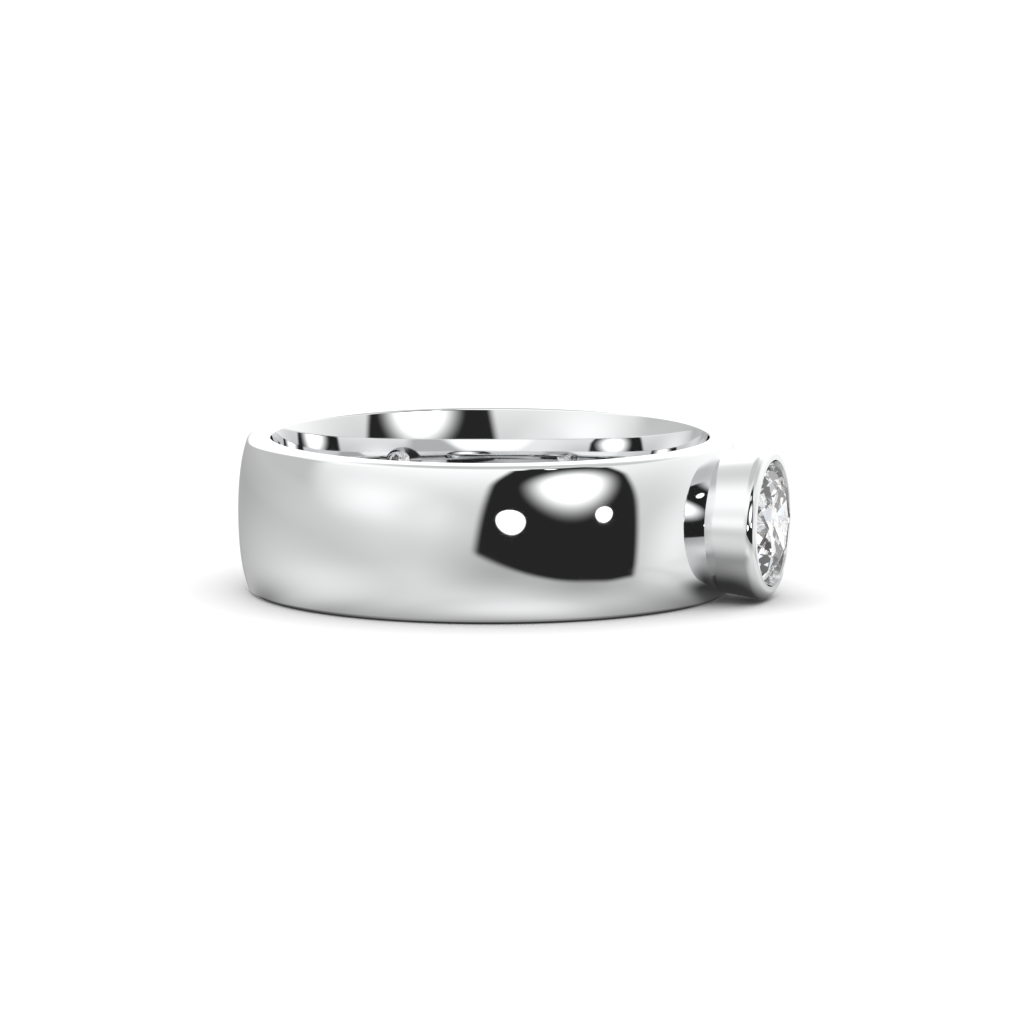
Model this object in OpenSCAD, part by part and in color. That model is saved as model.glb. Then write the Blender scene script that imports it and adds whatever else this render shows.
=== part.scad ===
// Bezel set ring: a wide polished court band with one round brilliant in a tapered bezel cup.
// Millimetres. The origin is the middle of the finger hole, +Z runs along the finger,
// and +X points from the finger through the middle of the stone.
// Band and cup are one piece of metal, cast or soldered. The stone is the other piece.

/* [Band] */
// Diameter of the finger hole where it is narrowest
finger_d = 16.5; // [15:0.25:20]
// Width of the band along the finger
band_w = 6; // [5.8:0.1:7]
// Thickness of the band at the middle of its width
band_t = 1.52; // [1.4:0.02:1.6]
// Radius of the flatter arc over the middle of the band's outside
crest_arc_r = 16; // [13:0.5:20]
// Width of that arc along the finger
crest_arc_w = 3; // [2:0.1:3.6]
// Radius of the rounder arcs to either side of it
shoulder_r = 6; // [5:0.25:9]
// How far the comfort curve inside opens from the middle to the edges of the band
comfort_fall = 0.25; // [0.15:0.01:0.3]
// Width of the straight stretch in the middle of the finger hole
land_w = 1; // [0.6:0.1:1.6]
// Radius of the round on each outer edge of the band
outer_round = 0.27; // [0.15:0.01:0.5]
// Radius of the round on each inner edge of the band
inner_round = 0.12; // [0.06:0.02:0.2]

/* [Bezel cup] */
// Outside diameter of the cup at its widest, under the round of the lip
lip_d = 5.84; // [5.65:0.01:5.85]
// Height of the lip over the crest of the band
lip_rise = 1.6; // [1.4:0.02:1.8]
// Taper of the cup's side in degrees, narrower towards the finger
cup_taper = 7.4; // [0:0.2:10]
// Radius of the round on the outer edge of the lip
lip_round = 0.37; // [0.1:0.01:0.38]
// Width of the flat on top of the lip, inside that round
lip_flat = 0.12; // [0.02:0.01:0.15]

/* [Stone] */
// Diameter of the round brilliant at its girdle
stone_d = 4.9; // [4.8:0.05:4.95]
// Width of the table as a part of the diameter
table_part = 0.57; // [0.53:0.01:0.6]
// Angle between the crown's main facets and the girdle
crown_angle = 34.5; // [33:0.5:35]
// Angle between the pavilion's main facets and the girdle
pavilion_angle = 40.8; // [40:0.1:41]
// Thickness of the girdle where main facets meet it, as a part of the diameter
girdle_part = 0.036; // [0.032:0.002:0.044]
// How far the star facets reach from the table to the girdle, as a part of the way
star_reach = 0.5; // [0.4:0.05:0.6]
// How far the lower facets reach from the girdle to the culet, as a part of the way
lower_reach = 0.77; // [0.7:0.01:0.85]
// Width of the small flat that ends the pavilion
culet_d = 0.04; // [0.02:0.01:0.1]
// Height of the table over the lip of the cup
table_rise = 0.21; // [0.14:0.01:0.3]
// Turn of the facets about the stone's axis, in degrees
facet_turn = 0; // [0:0.5:45]

/* [Seat] */
// Gap between the stone and the metal round it
stone_gap = 0.02; // [0.01:0.01:0.03]
// How far the lip is worked in over the edge of the stone
lip_over = 0.12; // [0.06:0.01:0.14]
// Diameter inside the ledge that carries the stone
ledge_d = 4.2; // [3.8:0.1:4.4]
// Diameter of the hole through the band under the stone
azure_d = 2.6; // [2:0.1:3]
// Diameter of the bevel of that hole where it opens on the finger
azure_bevel_d = 3.9; // [3.4:0.1:4.2]

/* [Hidden] */
turn_steps = 192;
arc_steps = 720;
// Cutting shapes reach this far past what they cut
spare = 1;
// A round stands this far proud of the faces that it joins, so that they cross cleanly
proud = 0.0002;

// The band's section: x is the distance from the finger's axis, y lies along the finger
finger_r = finger_d / 2;
half_w = band_w / 2;
crest_r = finger_r + band_t;

// Radius of the arc that falls by a given height over a given half width
function arc_radius(half, fall) = (half * half + fall * fall) / (2 * fall);

crest_x = crest_r - crest_arc_r;
shoulder_turn = asin(crest_arc_w / 2 / crest_arc_r);
comfort_r = arc_radius(half_w - land_w / 2, comfort_fall);
comfort_x = finger_r + comfort_r;

// The cup's section: x is the distance from the stone's axis, y from the finger's axis
lip_r = lip_d / 2;
lip_s = crest_r + lip_rise;
// The foot of the cup ends inside the wall of the band
foot_s = finger_r + 0.5;

// The stone, along its own axis from the middle of its girdle
stone_r = stone_d / 2;
girdle_h = stone_d * girdle_part / 2;
table_r = stone_r * table_part;
table_h = girdle_h + (stone_r - table_r) * tan(crown_angle);
main_turn = 45;
half_turn = main_turn / 2;
star_r = table_r * cos(half_turn) * (1 - star_reach) + stone_r * star_reach;
star_h = girdle_h + (stone_r - star_r * cos(half_turn)) * tan(crown_angle);
lower_r = stone_r * (1 - lower_reach);
lower_h = girdle_h + (stone_r - lower_r * cos(half_turn)) * tan(pavilion_angle);
culet_r = culet_d / 2;
culet_h = girdle_h + (stone_r - culet_r) * tan(pavilion_angle);
// Points of the girdle along the edge of one upper or lower facet
girdle_steps = 4;
girdle_points = 16 * girdle_steps;
girdle_s = lip_s + table_rise - table_h;

// The seat: a pocket that follows the stone's edge at the gap all round
pocket_r = stone_r + stone_gap;
throat_r = stone_r - lip_over;
mouth_r = lip_r - lip_round - lip_flat;
ledge_r = ledge_d / 2;
azure_r = azure_d / 2;
azure_bevel_r = azure_bevel_d / 2;

function polar(r, a) = [r * cos(a), r * sin(a)];

// Height that a cone at this angle keeps from a parallel one when they are stone_gap apart
function gap_height(angle) = stone_gap * tan(45 - angle / 2);

// Centre of the shoulder's arc. Its cut starts at the crest's arc and ends past the rim.
shoulder = [crest_x, 0] + polar(crest_arc_r - shoulder_r + proud, shoulder_turn);
shoulder_end = 45;

// Centre of a round of radius r that touches the shoulder and the upper face of the band
function shoulder_round(r) =
    let (y = half_w - r + proud, rise = y - shoulder[1], reach = shoulder_r - r + proud)
    [shoulder[0] + sqrt(reach * reach - rise * rise), y];

// Centre of a round of radius r that touches the comfort curve and the upper face
function comfort_round(r) =
    let (y = half_w - r + proud, rise = y - land_w / 2, reach = comfort_r - r + proud)
    [comfort_x - sqrt(reach * reach - rise * rise), y];

// What is cut from a corner to leave a round between two of its radii
module corner_cut(centre, r, from, to) {
    reach = 2 * r;
    middle = (from + to) / 2;
    difference() {
        polygon([centre, centre + polar(reach, from), centre + polar(reach, middle),
                 centre + polar(reach, to)]);
        translate(centre) circle(r = r, $fn = turn_steps);
    }
}

// A straight land with an arc to either side of it, from the finger outwards
module comfort_shape() {
    translate([finger_r, -land_w / 2]) square([comfort_r, land_w]);
    for (side = [-1, 1])
        translate([comfort_x, side * land_w / 2]) circle(r = comfort_r, $fn = arc_steps);
}

module edge_rounds() {
    outer = shoulder_round(outer_round);
    inner = comfort_round(inner_round);
    outer_end = atan2(outer[1] - shoulder[1], outer[0] - shoulder[0]);
    inner_end = atan2(inner[1] - land_w / 2, inner[0] - comfort_x);
    corner_cut(shoulder, shoulder_r, shoulder_end, shoulder_turn);
    corner_cut(outer, outer_round, 90, outer_end);
    corner_cut(inner, inner_round, 90, inner_end);
}

module band_section() {
    difference() {
        intersection() {
            translate([finger_r - spare, -half_w]) square([band_t + 2 * spare, band_w]);
            translate([crest_x, 0]) circle(r = crest_arc_r, $fn = arc_steps);
            comfort_shape();
        }
        edge_rounds();
        mirror([0, 1]) edge_rounds();
    }
}

module cup_section() {
    centre = [lip_r - lip_round, lip_s - lip_round + proud];
    // The side leaves the round here and runs down to the foot
    side_top = centre + polar(lip_round - proud, -cup_taper);
    foot_r = side_top[0] - (side_top[1] - foot_s) * tan(cup_taper);
    corner_r = side_top[0] + (lip_s - side_top[1]) * tan(cup_taper);
    difference() {
        polygon([[0, foot_s], [foot_r, foot_s], [corner_r, lip_s], [0, lip_s]]);
        corner_cut(centre, lip_round, 90, -cup_taper);
    }
}

// What is cut away round the stone, from the finger hole out to the lip
module seat_section() {
    pocket_low = girdle_s - girdle_h - gap_height(pavilion_angle);
    pocket_high = girdle_s + girdle_h + gap_height(crown_angle);
    polygon([
        [0, finger_r - spare],
        [azure_bevel_r + spare, finger_r - spare],
        [azure_r, finger_r + azure_bevel_r - azure_r],
        [ledge_r, pocket_low - (pocket_r - ledge_r) * tan(pavilion_angle)],
        [pocket_r, pocket_low],
        [pocket_r, pocket_high],
        [throat_r, pocket_high + (pocket_r - throat_r) * tan(crown_angle)],
        [mouth_r, lip_s],
        [mouth_r, lip_s + spare],
        [0, lip_s + spare]
    ]);
}

module turned_on_stone_axis() {
    rotate([0, 90, 0]) rotate_extrude($fn = turn_steps) children();
}

module band_and_bezel() {
    color("lightgray")
    difference() {
        union() {
            rotate_extrude($fn = arc_steps) band_section();
            turned_on_stone_axis() cup_section();
        }
        turned_on_stone_axis() seat_section();
    }
}

function on_ring(r, a, h) = [r * cos(a), r * sin(a), h];

// Height at which the flat facet between girdle and tip cuts the girdle's cylinder.
// The facet meets full girdle height at its two ends and dips between them.
function girdle_edge(i, tip_r, tip_h) =
    let (
        quarter = half_turn / 2,
        slope = (tip_h - girdle_h) / ((stone_r - tip_r) * cos(quarter)),
        off = half_turn * (i % girdle_steps) / girdle_steps - quarter
    )
    girdle_h + stone_r * (cos(quarter) - cos(off)) * slope;

// Points in rings of increasing depth, with where each ring starts in the list
table_at = 0;
star_at = 8;
upper_at = 16;
under_at = upper_at + girdle_points;
lower_at = under_at + girdle_points;
culet_at = lower_at + 8;

stone_points = [
    for (k = [0:7]) on_ring(table_r, main_turn * k, table_h),
    for (k = [0:7]) on_ring(star_r, main_turn * k + half_turn, star_h),
    for (i = [0:girdle_points - 1])
        on_ring(stone_r, 360 * i / girdle_points, girdle_edge(i, star_r, star_h)),
    for (i = [0:girdle_points - 1])
        on_ring(stone_r, 360 * i / girdle_points, -girdle_edge(i, lower_r, lower_h)),
    for (k = [0:7]) on_ring(lower_r, main_turn * k + half_turn, -lower_h),
    for (k = [0:7]) on_ring(culet_r, main_turn * k, -culet_h)
];

function eighth(start, k) = start + (k + 8) % 8;
function girdle(start, i) = start + i % girdle_points;

stone_facets = [
    [for (k = [7:-1:0]) table_at + k],
    // Stars and kites of the crown
    for (k = [0:7]) [eighth(table_at, k), eighth(table_at, k + 1), eighth(star_at, k)],
    for (k = [0:7])
        [eighth(table_at, k), eighth(star_at, k), girdle(upper_at, 2 * k * girdle_steps),
         eighth(star_at, k - 1)],
    // Upper girdle facets, two to each star tip
    for (j = [0:15])
        [star_at + floor(j / 2), for (i = [girdle_steps:-1:0]) girdle(upper_at, j * girdle_steps + i)],
    for (i = [0:girdle_points - 1])
        [girdle(upper_at, i), girdle(upper_at, i + 1), girdle(under_at, i + 1), girdle(under_at, i)],
    // Lower girdle facets and the mains of the pavilion
    for (j = [0:15])
        [lower_at + floor(j / 2), for (i = [0:girdle_steps]) girdle(under_at, j * girdle_steps + i)],
    for (k = [0:7])
        [eighth(culet_at, k), eighth(lower_at, k - 1), girdle(under_at, 2 * k * girdle_steps),
         eighth(lower_at, k)],
    for (k = [0:7]) [eighth(culet_at, k), eighth(lower_at, k), eighth(culet_at, k + 1)],
    [for (k = [0:7]) culet_at + k]
];

module stone() {
    color("white", 0.6)
    translate([girdle_s, 0, 0]) rotate([0, 90, 0]) rotate([0, 0, facet_turn])
        polyhedron(points = stone_points, faces = stone_facets, convexity = 2);
}

band_and_bezel();
stone();
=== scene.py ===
import math
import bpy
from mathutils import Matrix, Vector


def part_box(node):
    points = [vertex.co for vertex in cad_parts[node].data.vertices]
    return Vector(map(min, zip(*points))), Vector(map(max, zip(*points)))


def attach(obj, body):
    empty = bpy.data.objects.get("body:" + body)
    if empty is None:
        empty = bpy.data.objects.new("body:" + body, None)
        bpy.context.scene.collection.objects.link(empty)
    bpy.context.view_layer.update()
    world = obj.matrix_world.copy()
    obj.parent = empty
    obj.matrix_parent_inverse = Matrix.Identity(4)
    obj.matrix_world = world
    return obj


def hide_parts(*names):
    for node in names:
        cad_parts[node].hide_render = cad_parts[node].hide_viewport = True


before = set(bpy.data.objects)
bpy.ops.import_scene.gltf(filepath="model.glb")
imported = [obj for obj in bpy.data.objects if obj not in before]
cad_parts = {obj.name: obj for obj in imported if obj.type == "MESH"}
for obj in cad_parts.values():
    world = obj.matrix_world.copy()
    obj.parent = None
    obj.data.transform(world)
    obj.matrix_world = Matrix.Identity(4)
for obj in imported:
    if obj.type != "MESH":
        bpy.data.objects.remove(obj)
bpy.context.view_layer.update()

from copy import copy

import bmesh
import bpy
from mathutils import Matrix, Vector

# Everything is in metres. The finger's axis is Z, and the stone's axis is X.
MM = 0.001
metal_low, metal_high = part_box("band_and_bezel")
_, stone_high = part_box("stone")

# The band's section, with the sizes that the CAD source has
FINGER_R = 8.25 * MM
LAND_W = 1.0 * MM
COMFORT_FALL = 0.25 * MM
CREST_ARC_R = 16.0 * MM
CREST_ARC_W = 3.0 * MM
SHOULDER_R = 6.0 * MM
OUTER_ROUND = 0.27 * MM
INNER_ROUND = 0.12 * MM
HALF_W = metal_high.z
CREST_R = -metal_low.x

# The cup's section. S is the distance from the finger's axis along the stone's axis.
LIP_R = 2.92 * MM
LIP_S = metal_high.x
CUP_TAPER = math.radians(7.4)
LIP_ROUND = 0.37 * MM
LIP_FLAT = 0.12 * MM
FOOT_S = FINGER_R + 0.5 * MM

# The stone
STONE_R = stone_high.z
TABLE_S = stone_high.x
TABLE_PART = 0.57
CROWN = math.radians(34.5)
PAVILION = math.radians(40.8)
GIRDLE_PART = 0.036
STAR_REACH = 0.5
LOWER_REACH = 0.77
CULET_R = 0.02 * MM
FACET_TURN = 0.0
MAINS = 8

# The seat
STONE_GAP = 0.02 * MM
LIP_OVER = 0.12 * MM
LEDGE_R = 2.1 * MM
AZURE_R = 1.3 * MM
AZURE_BEVEL_R = 1.95 * MM
SPARE = 1.0 * MM

# Steps of the fine mesh, round the two axes and along each stretch of a section
BAND_TURN = 640
CUP_TURN = 320
FLAT_STEPS = 2
COMFORT_STEPS = 14
INNER_STEPS = 7
OUTER_STEPS = 12
DOME_STEPS = 24
CUP_END_STEPS = 3
CUP_SIDE_STEPS = 16
LIP_STEPS = 20
SEAT_STEPS = 4
GIRDLE_STEPS = 4
MERGE = 1e-8
ON_AXIS = 1e-9

# A face belongs to a surface that is this near to it and has this much of its direction
SAME_PLACE = 0.02 * MM
SAME_WAY = 0.9

# The metal: its colour, and the haze that buffing leaves, from its best to its dullest roughness
METAL_COLOR = (0.83, 0.835, 0.84, 1)
HAZE_SCALE = 900.0
HAZE_DETAIL = 4.0
HAZE_RANGE = (0.35, 0.75)
METAL_ROUGHNESS = (0.015, 0.05)

# The stone's material
GEM_COLOR = (1, 1, 1, 1)
GEM_IOR = 2.417

# What shines through the stone: a share of the studio, and fine painted sparks of two painted tints, which
# stand in for the stone's sparkle and fire
STUDIO_SHARE = 0.32
SPARK_LEAST = 0.5
SPARK_MORE = 0.85
SPARK_SCALE = 24.0
SPARK_DETAIL = 1.0
SPARK_RANGE = (0.36, 0.64)
TINT_SCALE = 30.0
TINT_RANGE = (0.38, 0.62)
COOL = (0.88, 0.95, 1.06)
WARM = (1.06, 0.97, 0.89)

# The table top and its light
PAPER_COLOR = (0.95, 0.95, 0.95, 1)
PAPER_ROUGHNESS = 0.9
TABLE_HALF = 1.0
TABLE_LIGHT = 3.2
TABLE_LIGHT_SPREAD = math.radians(100)
SKY_ON_TABLE = 0.25
SKY_IN_PICTURE = 1.4

# The camera, as found from the outlines of the band in the photograph. Angles are in radians.
CAMERA_TURN = math.radians(17.5)
CAMERA_UP = 0.13743
CAMERA_PITCH = 0.13755
CAMERA_YAW = 0.00331
CAMERA_DISTANCE = 260.0 * MM
CAMERA_NEAR = 0.01
CAMERA_FAR = 10.0
CAMERA_LENS = 235.97
SENSOR = 36.0

# The studio, in degrees from the ring. Each row brings a light of this brightness over the rows before it.
# A band's other columns are the ways it is measured (see Sky), each with a start, where the band begins to
# show, and an end, from where on it is full. An oval's are its middle (azimuth across, elevation up), its
# half sizes (half_down where it reaches down further than up), core, the part of its radius where it is
# full, and lean, its rise to the right.
TENT_LIGHT = 0.77
TENT_BANDS = [
    dict(light=0.55, west=(55, 155)),
    dict(light=1.15, across=(74, 133)),
    dict(light=0.85, side=(165, 180)),
    dict(light=0.82, down=(11, 17)),
    dict(light=1.2, up=(0, 34)),
    dict(light=0.66, up=(46, 72)),
]
TENT_OVALS = [
    dict(light=0.68, across=85, up=48, half_across=60, half_up=30, core=0.2),
    dict(light=1.18, across=-54, up=6, half_across=41, half_up=18),
    dict(light=0.95, across=-28, up=1, half_across=22, half_up=11),
    dict(light=0.5, across=6, up=-15, half_across=45, half_up=14),
    dict(light=0.46, across=42, up=-19, half_across=42, half_up=15),
    dict(light=1.4, across=97, up=-14, half_across=34, half_up=16),
    dict(light=0.76, across=-88, up=-7, half_across=72, half_up=9),
]

# Straight behind, azimuth jumps from 180 to -180. What is only on one side fades out before it.
BEFORE_JUMP = dict(front=(-180, -160))

# The table top as the ring mirrors it, painted into the studio: bright in front and on the far left, dark
# close to the ring and behind it with the ring's painted shadow, and one light spot behind, which is
# placed from both ends of the azimuth's scale
TABLE_FRONT = [dict(light=1.7, across=14, up=-44, half_across=67, half_up=18)]
TABLE_LEFT_LIGHT = 2.2
TABLE_LEFT = dict(across=-140, up=-21, half_across=100, half_up=17)
# The ring's painted shadow on the table: darker lower down, where the mirrored table lies closest to the
# ring
TABLE_BANDS = [
    dict(light=0.38, down=(26, 50)),
    dict(light=0.22, down=(60, 88)),
    dict(light=0.03, side=(28, 165), down=(-2, 23)),
]
TABLE_REAR = [
    dict(light=1.05, across=-176, up=-8.4, half_across=10, half_up=4),
    dict(light=1.05, across=184, up=-8.4, half_across=10, half_up=4),
]

# An edge lies at an elevation or azimuth, and moves by more degrees along the bands of its moves.
# The cloth behind: grey under its edge on the left, and white over the edge
CLOTH_EDGE = dict(at=33, moves=[dict(by=-29, side=(112, 160))])
CLOTH_BANDS = [
    dict(light=0.62, west=(83, 98), under_edge=(-8, 6), up=(0, 8), **BEFORE_JUMP),
    dict(light=1.5, side=(122, 146), over_edge=(-5, 7), down=(-60, -46)),
]

# The black panel in front, whose lower edge falls to the right, and whose sides lean in towards the top
PANEL_LOW = dict(at=0.2, moves=[dict(by=-19.4, across=(-59, 42)), dict(by=1.8, across=(54, 73))])
PANEL_LEFT = dict(at=-4.6, lean=0.28, moves=[dict(by=13, up=(16, 39))])
PANEL_RIGHT = dict(at=70.4, moves=[dict(by=-4.3, up=(0, 27)), dict(by=-9.6, up=(16, 30))])
PANEL_BANDS = [
    dict(
        light=0.022, past_left=(-2.7, 2.7), before_right=(-2.3, 2.3), over_low=(-1.2, 1.2),
        down=(-56, -44),
    ),
]

# The lamps that stand before the panel: a soft box, two round lamps and a small one above
LAMPS = [
    dict(light=2.5, across=38.7, up=15, half_across=26.5, half_up=13, half_down=18, core=0.1),
    dict(light=6.0, across=9.2, up=-0.8, half_across=7.2, half_up=4.5, core=0.7, lean=-0.06),
    dict(light=6.0, across=52.8, up=-0.4, half_across=4.6, half_up=2.8, core=0.68),
    dict(light=3.0, across=32, up=37, half_across=4, half_up=5, core=0.6),
]

# The table top beside the cup as the cup mirrors it, painted on a glowing sheet with the cup's painted
# shadow and the ring's painted pool of light, in millimetres to the picture's right and away from the
# camera
NEAR_TABLE_LOW = (6.0 * MM, -12.0 * MM)
NEAR_TABLE_HIGH = (70.0 * MM, 90.0 * MM)
NEAR_TABLE_LIGHT = 0.62
NEAR_TABLE_PAINTED_SHADOW_AND_LIGHT_OVALS = [
    # A painted pool of light that the ring throws on the table in front of the cup
    dict(light=0.81, across=10.8, up=-8.0, half_across=2.4, half_up=2.9, core=0.25),
    dict(light=0.92, across=15.4, up=-5.2, half_across=5.3, half_up=8.1, core=0.3),
    # The painted shadow under the cup
    dict(light=0.04, across=9.1, up=-3.2, half_across=2.9, half_up=3.3, core=0.35),
]
NEAR_TABLE_BANDS = [dict(light=1.05, up=(1, 4))]
NEAR_TABLE_SEEN = dict(across=12.5, up=-2.6, half_across=5.3, half_up=8.7, core=0.5)
NEAR_TABLE_SEEN_BEHIND = dict(across=(8.5, 10.5), up=(1, 4))


# Sections: points are (radius, distance along the axis)


def polar(centre, radius, angle):
    return centre + Vector((math.cos(angle), math.sin(angle))) * radius


class Arc:
    """A stretch of a circle in a section, from one angle to another."""

    def __init__(self, centre, radius, start, end, steps):
        self.centre, self.radius = Vector(centre), radius
        turn = (end - start) / steps
        self.points = [polar(self.centre, radius, start + turn * i) for i in range(steps + 1)]

    def distance(self, point):
        return abs((point - self.centre).length - self.radius)

    def normal(self, point):
        return (point - self.centre).normalized()

    def flip(self):
        self.centre = Vector((self.centre.x, -self.centre.y))


class Line:
    """A straight stretch of a section. Its normal is to the left of its direction, or right for -1."""

    def __init__(self, start, end, steps, sign=1):
        start, end = Vector(start), Vector(end)
        self.points = [start.lerp(end, i / steps) for i in range(steps + 1)]
        along = (end - start).normalized()
        self.start, self.across = start, Vector((-along.y, along.x)) * sign

    def distance(self, point):
        return abs((point - self.start).dot(self.across))

    def normal(self, point):
        return self.across

    def flip(self):
        self.start = Vector((self.start.x, -self.start.y))
        self.across = Vector((self.across.x, -self.across.y))


class Dome:
    """The outside of the band from the round at its rim to the crest.

    The CAD source draws it with two arcs. This is the one smooth curve, fall = a z^2 + b z^4,
    that leaves the crest and meets the round as they do, and it stays within 0.007 mm of them.
    """

    def __init__(self, end, slope, steps):
        height, fall = end.y, CREST_R - end.x
        self.b = (slope * height / 2 - fall) / height ** 4
        self.a = fall / height ** 2 - self.b * height ** 2
        self.points = [self.at(height * (1 - i / steps)) for i in range(steps + 1)]

    def at(self, height):
        return Vector((CREST_R - self.a * height ** 2 - self.b * height ** 4, height))

    def distance(self, point):
        return abs(point.x - self.at(point.y).x)

    def normal(self, point):
        slope = 2 * self.a * point.y + 4 * self.b * point.y ** 3
        return Vector((1, slope)).normalized()

    def flip(self):
        """The curve is its own mirror image."""


def arc_radius(half, fall):
    """The radius of an arc that falls by this much over half its width."""
    return (half * half + fall * fall) / (2 * fall)


def band_section():
    """Half of the band's section, from the finger hole's middle round to the crest outside."""
    crest = Vector((CREST_R - CREST_ARC_R, 0))
    shoulder_turn = math.asin(CREST_ARC_W / 2 / CREST_ARC_R)
    shoulder = polar(crest, CREST_ARC_R - SHOULDER_R, shoulder_turn)
    comfort_r = arc_radius(HALF_W - LAND_W / 2, COMFORT_FALL)
    comfort_x = FINGER_R + comfort_r
    outer_y = HALF_W - OUTER_ROUND
    outer_rise = outer_y - shoulder.y
    outer_x = shoulder.x + math.sqrt((SHOULDER_R - OUTER_ROUND) ** 2 - outer_rise ** 2)
    outer = Vector((outer_x, outer_y))
    inner_y = HALF_W - INNER_ROUND
    inner_rise = inner_y - LAND_W / 2
    inner = Vector((comfort_x - math.sqrt((comfort_r - INNER_ROUND) ** 2 - inner_rise ** 2), inner_y))
    comfort_centre = Vector((comfort_x, LAND_W / 2))
    inner_end = math.atan2(inner_rise, inner.x - comfort_x)
    outer_end = math.atan2(outer_rise, outer.x - shoulder.x)
    quarter = math.pi / 2
    return [
        Line((FINGER_R, 0), (FINGER_R, LAND_W / 2), FLAT_STEPS),
        Arc(comfort_centre, comfort_r, math.pi, inner_end, COMFORT_STEPS),
        Arc(inner, INNER_ROUND, inner_end, quarter, INNER_STEPS),
        Line((inner.x, HALF_W), (outer.x, HALF_W), FLAT_STEPS),
        Arc(outer, OUTER_ROUND, quarter, outer_end, OUTER_STEPS),
        Dome(polar(outer, OUTER_ROUND, outer_end), math.tan(outer_end), DOME_STEPS),
    ]


def mirrored(runs):
    """The same runs below the middle plane, in the order that closes the outline."""
    flipped = []
    for run in reversed(runs):
        twin = copy(run)
        twin.points = [Vector((p.x, -p.y)) for p in reversed(run.points)]
        twin.flip()
        flipped.append(twin)
    return flipped


def cup_section():
    """The outside of the cup, from its foot inside the band up to the middle of its mouth."""
    centre = Vector((LIP_R - LIP_ROUND, LIP_S - LIP_ROUND))
    side_top = polar(centre, LIP_ROUND, -CUP_TAPER)
    foot_r = side_top.x - (side_top.y - FOOT_S) * math.tan(CUP_TAPER)
    return [
        Line((0, FOOT_S), (foot_r, FOOT_S), CUP_END_STEPS, -1),
        Line((foot_r, FOOT_S), side_top, CUP_SIDE_STEPS, -1),
        Arc(centre, LIP_ROUND, -CUP_TAPER, math.pi / 2, LIP_STEPS),
        Line((centre.x, LIP_S), (0, LIP_S), CUP_END_STEPS, -1),
    ]


def stone_heights():
    """Distances of the girdle's edge and the table, along the stone's axis from its girdle's middle."""
    girdle = STONE_R * GIRDLE_PART
    table = girdle + STONE_R * (1 - TABLE_PART) * math.tan(CROWN)
    return girdle, table


def seat_section():
    """What is cut away round the stone, from the finger hole out to the lip."""
    girdle, table = stone_heights()
    middle = TABLE_S - table
    low = middle - girdle - STONE_GAP * math.tan(math.pi / 4 - PAVILION / 2)
    high = middle + girdle + STONE_GAP * math.tan(math.pi / 4 - CROWN / 2)
    pocket_r = STONE_R + STONE_GAP
    throat_r = STONE_R - LIP_OVER
    mouth_r = LIP_R - LIP_ROUND - LIP_FLAT
    corners = [
        (0, FINGER_R - SPARE),
        (AZURE_BEVEL_R + SPARE, FINGER_R - SPARE),
        (AZURE_R, FINGER_R + AZURE_BEVEL_R - AZURE_R),
        (LEDGE_R, low - (pocket_r - LEDGE_R) * math.tan(PAVILION)),
        (pocket_r, low),
        (pocket_r, high),
        (throat_r, high + (pocket_r - throat_r) * math.tan(CROWN)),
        (mouth_r, LIP_S),
        (mouth_r, LIP_S + SPARE),
        (0, LIP_S + SPARE),
    ]
    # These normals point into the cut, which is away from the metal
    return [Line(a, b, SEAT_STEPS) for a, b in zip(corners, corners[1:])]


def outline(runs):
    """The points of joined runs, each shared point once."""
    points = []
    for run in runs:
        points += run.points if not points else run.points[1:]
    return points


# Meshes


def show(item):
    bpy.context.scene.collection.objects.link(item)
    return item


def finished(mesh, name):
    """An object of this name with the mesh, its faces turned outwards."""
    bmesh.ops.recalc_face_normals(mesh, faces=mesh.faces)
    data = bpy.data.meshes.new(name)
    mesh.to_mesh(data)
    mesh.free()
    return show(bpy.data.objects.new(name, data))


def turned(name, points, steps, place):
    """A closed solid of revolution. place(radius, along, angle) gives a point in the frame."""
    mesh = bmesh.new()
    rings = []
    for i in range(steps):
        angle = math.tau * i / steps
        rings.append([mesh.verts.new(place(p.x, p.y, angle)) for p in points])
    for i in range(steps):
        here, there = rings[i], rings[(i + 1) % steps]
        for j in range(len(points)):
            k = (j + 1) % len(points)
            mesh.faces.new((here[j], there[j], there[k], here[k]))
    bmesh.ops.remove_doubles(mesh, verts=mesh.verts, dist=MERGE)
    return finished(mesh, name)


def about_finger(radius, along, angle):
    return Vector((radius * math.cos(angle), radius * math.sin(angle), along))


def about_stone(radius, along, angle):
    return Vector((along, radius * math.cos(angle), radius * math.sin(angle)))


def cut_or_join(piece, other, operation):
    modifier = piece.modifiers.new(operation, "BOOLEAN")
    modifier.object = other
    modifier.operation = operation
    modifier.solver = "EXACT"
    with bpy.context.temp_override(object=piece, active_object=piece):
        bpy.ops.object.modifier_apply(modifier=modifier.name)
    bpy.data.objects.remove(other)


def section_point_finger(point):
    return Vector((math.hypot(point.x, point.y), point.z))


def section_point_stone(point):
    return Vector((math.hypot(point.y, point.z), point.x))


def lifted_finger(normal, point):
    """A section's normal as a direction in the frame, at this point round the finger's axis."""
    radius = math.hypot(point.x, point.y)
    return Vector((normal.x * point.x / radius, normal.x * point.y / radius, normal.y))


def lifted_stone(normal, point):
    """A section's normal as a direction in the frame, at this point round the stone's axis."""
    radius = max(math.hypot(point.y, point.z), ON_AXIS)
    return Vector((normal.y, normal.x * point.y / radius, normal.x * point.z / radius))


def surface_of(face, families):
    """The best (score, run, to section, lift back) for a face, or None where no surface fits."""
    centre, flat = face.center, face.normal
    best = None
    for runs, to_section, lift in families:
        spot = to_section(centre)
        for run in runs:
            far = run.distance(spot)
            if far > SAME_PLACE:
                continue
            agree = lift(run.normal(spot), centre).dot(flat)
            if agree < SAME_WAY:
                continue
            score = far / MM + (1 - agree)
            if best is None or score < best[0]:
                best = (score, run, to_section, lift)
    return best


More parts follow.
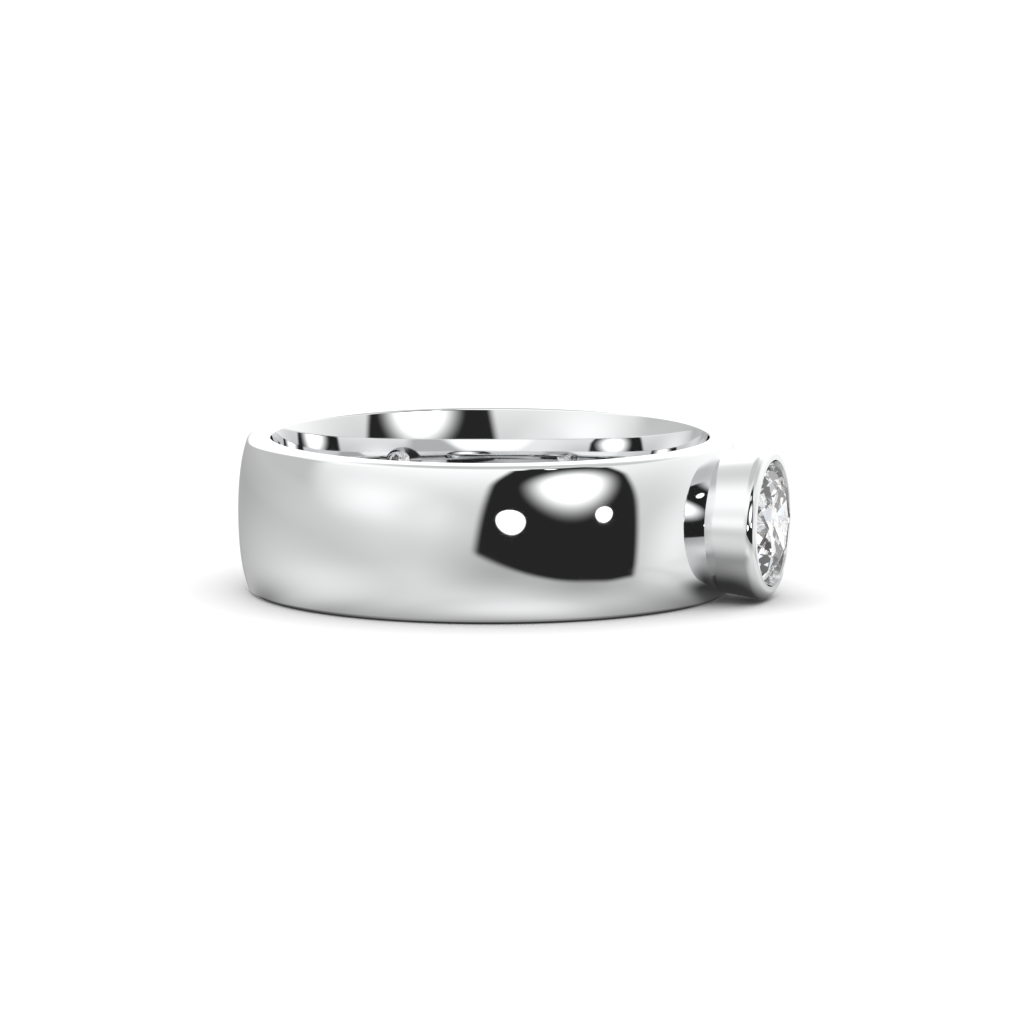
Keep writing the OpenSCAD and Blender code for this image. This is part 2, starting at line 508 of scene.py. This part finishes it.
def give_true_normals(piece, families):
    """Shades each face with the normals of the surface that it was cut from.

    families is a list of (runs, to section, lift back) for the band, the cup and the seat.
    """
    data = piece.data
    normals = [None] * len(data.loops)
    for face in data.polygons:
        face.use_smooth = True
        best = surface_of(face, families)
        for loop in face.loop_indices:
            point = data.vertices[data.loops[loop].vertex_index].co
            if best is None:
                normals[loop] = tuple(face.normal)
            else:
                _, run, to_section, lift = best
                normals[loop] = tuple(lift(run.normal(to_section(point)), point))
    data.normals_split_custom_set(normals)


def make_metal():
    """Band and cup in one, with the seat cut into them."""
    band_half = band_section()
    band_runs = band_half + mirrored(band_half)
    cup_runs = cup_section()
    seat_runs = seat_section()
    band = turned("band_and_bezel_fine", outline(band_runs)[:-1], BAND_TURN, about_finger)
    cup = turned("cup_fine", outline(cup_runs), CUP_TURN, about_stone)
    seat = turned("seat_cut", outline(seat_runs), CUP_TURN, about_stone)
    cut_or_join(band, cup, "UNION")
    cut_or_join(band, seat, "DIFFERENCE")
    give_true_normals(band, [
        (band_runs, section_point_finger, lifted_finger),
        (cup_runs, section_point_stone, lifted_stone),
        (seat_runs, section_point_stone, lifted_stone),
    ])
    return band


def make_stone():
    """The round brilliant, facet for facet as the CAD source has it."""
    girdle, table = stone_heights()
    middle = TABLE_S - table
    # The angle from one main facet to the next, and half of it
    main, half = math.tau / MAINS, math.pi / MAINS
    table_r = STONE_R * TABLE_PART
    star_r = table_r * math.cos(half) * (1 - STAR_REACH) + STONE_R * STAR_REACH
    star = girdle + (STONE_R - star_r * math.cos(half)) * math.tan(CROWN)
    lower_r = STONE_R * (1 - LOWER_REACH)
    lower = girdle + (STONE_R - lower_r * math.cos(half)) * math.tan(PAVILION)
    culet = girdle + (STONE_R - CULET_R) * math.tan(PAVILION)
    count = 2 * MAINS * GIRDLE_STEPS
    mesh = bmesh.new()

    def vertex(radius, angle, height):
        return mesh.verts.new(about_stone(radius, middle + height, angle + FACET_TURN))

    def edge_height(i, tip_r, tip_h):
        """Height of the girdle's scalloped edge, where a flat girdle facet meets the round girdle."""
        quarter = half / 2
        slope = (tip_h - girdle) / ((STONE_R - tip_r) * math.cos(quarter))
        off = half * (i % GIRDLE_STEPS) / GIRDLE_STEPS - quarter
        return girdle + STONE_R * (math.cos(quarter) - math.cos(off)) * slope

    def girdle_edge(tip_r, tip_h, side):
        return [
            vertex(STONE_R, math.tau * i / count, side * edge_height(i, tip_r, tip_h))
            for i in range(count)
        ]

    tables = [vertex(table_r, main * k, table) for k in range(MAINS)]
    stars = [vertex(star_r, main * k + half, star) for k in range(MAINS)]
    uppers = girdle_edge(star_r, star, 1)
    unders = girdle_edge(lower_r, lower, -1)
    lowers = [vertex(lower_r, main * k + half, -lower) for k in range(MAINS)]
    tips = [vertex(CULET_R, main * k, -culet) for k in range(MAINS)]
    mesh.faces.new(tables)
    mesh.faces.new(tips)
    for k in range(MAINS):
        after = (k + 1) % MAINS
        corner = 2 * k * GIRDLE_STEPS
        mesh.faces.new((tables[k], tables[after], stars[k]))
        mesh.faces.new((tables[k], stars[k], uppers[corner], stars[k - 1]))
        mesh.faces.new((tips[k], lowers[k - 1], unders[corner], lowers[k]))
        mesh.faces.new((tips[k], lowers[k], tips[after]))
    for j in range(2 * MAINS):
        rim = [(j * GIRDLE_STEPS + i) % count for i in range(GIRDLE_STEPS + 1)]
        mesh.faces.new([stars[j // 2]] + [uppers[i] for i in rim])
        mesh.faces.new([lowers[j // 2]] + [unders[i] for i in rim])
    for i in range(count):
        after = (i + 1) % count
        mesh.faces.new((uppers[i], uppers[after], unders[after], unders[i]))
    return finished(mesh, "stone_cut")


# Materials


def new_material(name):
    material = bpy.data.materials.new(name)
    material.use_nodes = True
    return material, material.node_tree, material.node_tree.nodes["Principled BSDF"]


def set_inputs(tree, node, inputs):
    """Gives a node's inputs, by name or number, a value or the output that feeds them."""
    for name, value in inputs.items():
        if isinstance(value, bpy.types.NodeSocket):
            tree.links.new(value, node.inputs[name])
        else:
            node.inputs[name].default_value = value


def add_node(tree, kind, inputs, **settings):
    node = tree.nodes.new("ShaderNode" + kind)
    for name, value in settings.items():
        setattr(node, name, value)
    set_inputs(tree, node, inputs)
    return node


def polished_metal():
    """White gold: a mirror with the faintest unevenness that a buffing wheel leaves."""
    material, tree, shader = new_material("polished_white_gold")
    place = add_node(tree, "TexCoord", {}).outputs["Object"]
    haze = add_node(tree, "TexNoise", {"Vector": place, "Scale": HAZE_SCALE, "Detail": HAZE_DETAIL})
    rough = add_node(tree, "MapRange", {
        "Value": haze.outputs["Fac"],
        "From Min": HAZE_RANGE[0],
        "From Max": HAZE_RANGE[1],
        "To Min": METAL_ROUGHNESS[0],
        "To Max": METAL_ROUGHNESS[1],
    })
    set_inputs(tree, shader, {
        "Metallic": 1.0,
        "Base Color": METAL_COLOR,
        "Roughness": rough.outputs["Result"],
    })
    return material


def cut_gem():
    """Colourless diamond."""
    material, tree, shader = new_material("clear_gem")
    set_inputs(tree, shader, {
        "Base Color": GEM_COLOR,
        "Roughness": 0.0,
        "IOR": GEM_IOR,
        "Transmission Weight": 1.0,
    })
    return material


# The studio


class Shades:
    """Builds brightness over two coordinates, across and up, out of math nodes.

    ways holds what a band can be measured by: the two coordinates, and others worked out from them.
    """

    def __init__(self, tree):
        self.tree = tree
        self.ways = {}

    def math(self, operation, *values):
        return add_node(self.tree, "Math", dict(enumerate(values)), operation=operation).outputs[0]

    def times(self, *values):
        product = values[0]
        for value in values[1:]:
            product = self.math("MULTIPLY", product, value)
        return product

    def add(self, a, b):
        return self.math("ADD", a, b)

    def less(self, a, b):
        return self.math("SUBTRACT", a, b)

    def mix(self, below, above, mask):
        return self.add(self.times(below, self.less(1.0, mask)), self.times(above, mask))

    def step(self, value, start, end):
        """0 before start, 1 after end, smooth between."""
        inputs = {"Value": value, "From Min": start, "From Max": end}
        return add_node(self.tree, "MapRange", inputs, interpolation_type="SMOOTHSTEP").outputs[0]

    def noise(self, place, scale, low, high):
        """Smooth random blotches from 0 to 1, with the contrast set by low and high."""
        inputs = {"Vector": place, "Scale": scale, "Detail": SPARK_DETAIL}
        return self.step(add_node(self.tree, "TexNoise", inputs).outputs["Fac"], low, high)

    def band(self, **limits):
        """What is past the limits, a start and an end for each way that is named."""
        return self.times(*[self.step(self.ways[way], *limit) for way, limit in limits.items()])

    def oval(self, across, up, half_across, half_up, half_down=None, core=0.0, lean=0.0):
        """A disc that is full inside core, as a part of its radius, and fades out to its edge."""
        off_across = self.less(self.ways["across"], across)
        off_up = self.less(self.less(self.ways["up"], up), self.times(off_across, lean))
        above = self.math("DIVIDE", self.math("MAXIMUM", off_up, 0.0), half_up)
        below = self.math("DIVIDE", self.math("MINIMUM", off_up, 0.0), half_down or half_up)
        tall, wide = self.add(above, below), self.math("DIVIDE", off_across, half_across)
        far = self.math("SQRT", self.add(self.times(wide, wide), self.times(tall, tall)))
        return self.less(1.0, self.step(far, core, 1.0))

    def lay(self, below, shape, rows):
        """Brings in the light of each row over what is below, in a shape made from its other columns."""
        for row in rows:
            columns = dict(row)
            light = columns.pop("light")
            below = self.mix(below, light, shape(**columns))
        return below


class Sky(Shades):
    """The studio round the ring, by azimuth (across) and elevation (up) in degrees.

    Azimuth 0 is towards the camera's side of the ring and grows to the picture's right. west is azimuth
    to the left, side azimuth to either side, front its negative, and down the negative of up.
    """

    def __init__(self, tree):
        super().__init__(tree)
        self.place = add_node(tree, "TexCoord", {}).outputs["Generated"]
        x, y, z = add_node(tree, "SeparateXYZ", {0: self.place}).outputs
        turn, degree = CAMERA_TURN, 180 / math.pi
        right = self.add(self.times(x, math.cos(turn)), self.times(y, math.sin(turn)))
        near = self.add(self.times(x, math.sin(turn)), self.times(y, -math.cos(turn)))
        across = self.times(self.math("ARCTAN2", right, near), degree)
        flat = self.math("MINIMUM", self.math("MAXIMUM", z, -1.0), 1.0)
        up = self.times(self.math("ARCSINE", flat), degree)
        side = self.math("ABSOLUTE", across)
        west, front, down = self.less(0.0, across), self.less(0.0, side), self.less(0.0, up)
        self.ways.update(across=across, west=west, side=side, front=front, up=up, down=down)

    def edge(self, at, moves, lean=0.0):
        """A line that lies at this many degrees, leans with elevation, and moves by each row's degrees."""
        place = self.add(self.times(self.ways["up"], lean), at)
        for row in moves:
            limits = dict(row)
            by = limits.pop("by")
            place = self.add(place, self.times(self.band(**limits), by))
        return place


def tent(sky):
    """The tent's cloth, darker to the back left and lighter over the horizon."""
    return sky.lay(sky.lay(TENT_LIGHT, sky.band, TENT_BANDS), sky.oval, TENT_OVALS)


# The table top as the ring mirrors it, with the ring's shadow on it painted in
def table_top(sky, light):
    light = sky.lay(light, sky.oval, TABLE_FRONT)
    left = sky.times(sky.oval(**TABLE_LEFT), sky.band(**BEFORE_JUMP))
    light = sky.mix(light, TABLE_LEFT_LIGHT, left)
    return sky.lay(sky.lay(light, sky.band, TABLE_BANDS), sky.oval, TABLE_REAR)


def cloth_behind(sky, light):
    edge, up = sky.edge(**CLOTH_EDGE), sky.ways["up"]
    sky.ways.update(under_edge=sky.less(edge, up), over_edge=sky.less(up, edge))
    return sky.lay(light, sky.band, CLOTH_BANDS)


def black_panel(sky, light):
    across, up = sky.ways["across"], sky.ways["up"]
    sky.ways["over_low"] = sky.less(up, sky.edge(**PANEL_LOW))
    sky.ways["past_left"] = sky.less(across, sky.edge(**PANEL_LEFT))
    sky.ways["before_right"] = sky.less(sky.edge(**PANEL_RIGHT), across)
    return sky.lay(light, sky.band, PANEL_BANDS)


def studio(sky):
    """Brightness of the tent, the table, the panel and the lamps round the ring."""
    light = cloth_behind(sky, table_top(sky, tent(sky)))
    return sky.lay(black_panel(sky, light), sky.oval, LAMPS)


def painted_sparks_through_stone(sky, light):
    """What shines through the stone comes from all over the tent, and painted sparks are added to it for
    the stone's sparkle.
    """
    spark = sky.noise(sky.place, SPARK_SCALE, *SPARK_RANGE)
    sparks = sky.add(SPARK_LEAST, sky.times(spark, SPARK_MORE))
    return sky.add(sky.times(light, STUDIO_SHARE), sparks)


def make_world():
    world = bpy.data.worlds.new("studio")
    bpy.context.scene.world = world
    # The studio is soft and the ring a mirror, so plain path tracing finds it without a light map
    world.cycles.sampling_method = "NONE"
    world.use_nodes = True
    tree = world.node_tree
    tree.nodes.clear()
    sky = Sky(tree)
    path = add_node(tree, "LightPath", {}).outputs
    through = sky.math("MINIMUM", path["Transmission Depth"], 1.0)
    on_table = sky.math("MINIMUM", path["Diffuse Depth"], 1.0)
    light = studio(sky)
    light = sky.mix(light, painted_sparks_through_stone(sky, light), through)
    # The table top takes most of its light from the lamp above
    light = sky.mix(light, SKY_ON_TABLE, on_table)
    light = sky.mix(light, SKY_IN_PICTURE, path["Is Camera Ray"])
    # Painted fire: cool and warm painted tints in what is seen through the stone
    warmth = sky.noise(sky.place, TINT_SCALE, *TINT_RANGE)
    tints = [sky.mix(1.0, sky.mix(cool, warm, warmth), through) for cool, warm in zip(COOL, WARM)]
    tint = add_node(tree, "CombineColor", dict(enumerate(tints)))
    background = add_node(tree, "Background", {"Color": tint.outputs[0], "Strength": light})
    add_node(tree, "OutputWorld", {0: background.outputs[0]})


# The table and its light


def make_plane(name, low, high, height):
    """A level rectangle, with low and high as its corners towards the picture's right and away."""
    corners = [(low[0], low[1]), (high[0], low[1]), (high[0], high[1]), (low[0], high[1])]
    data = bpy.data.meshes.new(name)
    data.from_pydata([(x, y, 0) for x, y in corners], [], [(0, 1, 2, 3)])
    plane = show(bpy.data.objects.new(name, data))
    plane.location = (0, 0, height)
    plane.rotation_euler = (0, 0, CAMERA_TURN)
    return plane


def make_floor():
    """A white table top at the lower rim of the band, which mirrorings don't show."""
    floor = make_plane("table_top", (-TABLE_HALF, -TABLE_HALF), (TABLE_HALF, TABLE_HALF), metal_low.z)
    material, tree, shader = new_material("white_paper")
    set_inputs(tree, shader, {"Base Color": PAPER_COLOR, "Roughness": PAPER_ROUGHNESS})
    floor.data.materials.append(material)
    floor.visible_glossy = False
    floor.visible_transmission = False


def painted_near_table(spot):
    """Painted brightness of the table top beside the cup, with the cup's painted shadow and the ring's
    painted pool of light, and how much of it is seen.
    """
    light = spot.lay(NEAR_TABLE_LIGHT, spot.oval, NEAR_TABLE_PAINTED_SHADOW_AND_LIGHT_OVALS)
    light = spot.lay(light, spot.band, NEAR_TABLE_BANDS)
    seen = spot.math("MAXIMUM", spot.oval(**NEAR_TABLE_SEEN), spot.band(**NEAR_TABLE_SEEN_BEHIND))
    return light, seen


def make_near_table():
    """A glowing sheet, no lamp, with a painted reflection of the stretch of table that the cup mirrors at
    close range, its shade and light painted in. Only mirrorings show it.
    """
    sheet = make_plane("painted_near_table", NEAR_TABLE_LOW, NEAR_TABLE_HIGH, metal_low.z)
    material = bpy.data.materials.new("painted_near_table")
    material.use_nodes = True
    tree = material.node_tree
    tree.nodes.clear()
    spot = Shades(tree)
    place = add_node(tree, "TexCoord", {}).outputs["Object"]
    split = add_node(tree, "SeparateXYZ", {0: place}).outputs
    spot.ways.update(across=spot.times(split["X"], 1 / MM), up=spot.times(split["Y"], 1 / MM))
    light, seen = painted_near_table(spot)
    # The sheet glows with the painted light and shade of the table
    glow = add_node(tree, "Emission", {"Strength": light}).outputs[0]
    clear = add_node(tree, "BsdfTransparent", {}).outputs[0]
    mix = add_node(tree, "MixShader", {0: seen, 1: clear, 2: glow})
    add_node(tree, "OutputMaterial", {"Surface": mix.outputs[0]})
    sheet.data.materials.append(material)
    sheet.visible_camera = False
    sheet.visible_diffuse = False
    sheet.visible_shadow = False


def make_table_light():
    """A wide soft light from above that whitens the table top and isn't mirrored by the ring."""
    sun = bpy.data.lights.new("table_light", "SUN")
    sun.energy = TABLE_LIGHT
    sun.angle = TABLE_LIGHT_SPREAD
    lamp = show(bpy.data.objects.new("table_light", sun))
    lamp.visible_glossy = False
    lamp.visible_transmission = False


def make_camera():
    lens = bpy.data.cameras.new("camera")
    lens.sensor_width = SENSOR
    lens.lens = CAMERA_LENS
    lens.clip_start = CAMERA_NEAR
    lens.clip_end = CAMERA_FAR
    camera = show(bpy.data.objects.new("camera", lens))
    turn = Matrix.Rotation(CAMERA_TURN, 3, "Z")
    back = Vector((0, -math.cos(CAMERA_UP), math.sin(CAMERA_UP))) * CAMERA_DISTANCE
    level = math.cos(CAMERA_PITCH)
    look = Vector((math.sin(CAMERA_YAW) * level, math.cos(CAMERA_YAW) * level, -math.sin(CAMERA_PITCH)))
    camera.location = turn @ back
    camera.rotation_mode = "QUATERNION"
    camera.rotation_quaternion = (turn @ look).to_track_quat("-Z", "Y")
    bpy.context.scene.camera = camera


make_camera()
make_world()
make_floor()
make_near_table()
make_table_light()
bpy.context.scene.view_settings.view_transform = "Standard"

metal = make_metal()
metal.data.materials.clear()
metal.data.materials.append(polished_metal())
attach(metal, "root")
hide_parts("band_and_bezel")

stone = make_stone()
stone.data.materials.append(cut_gem())
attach(stone, "root")
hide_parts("stone")
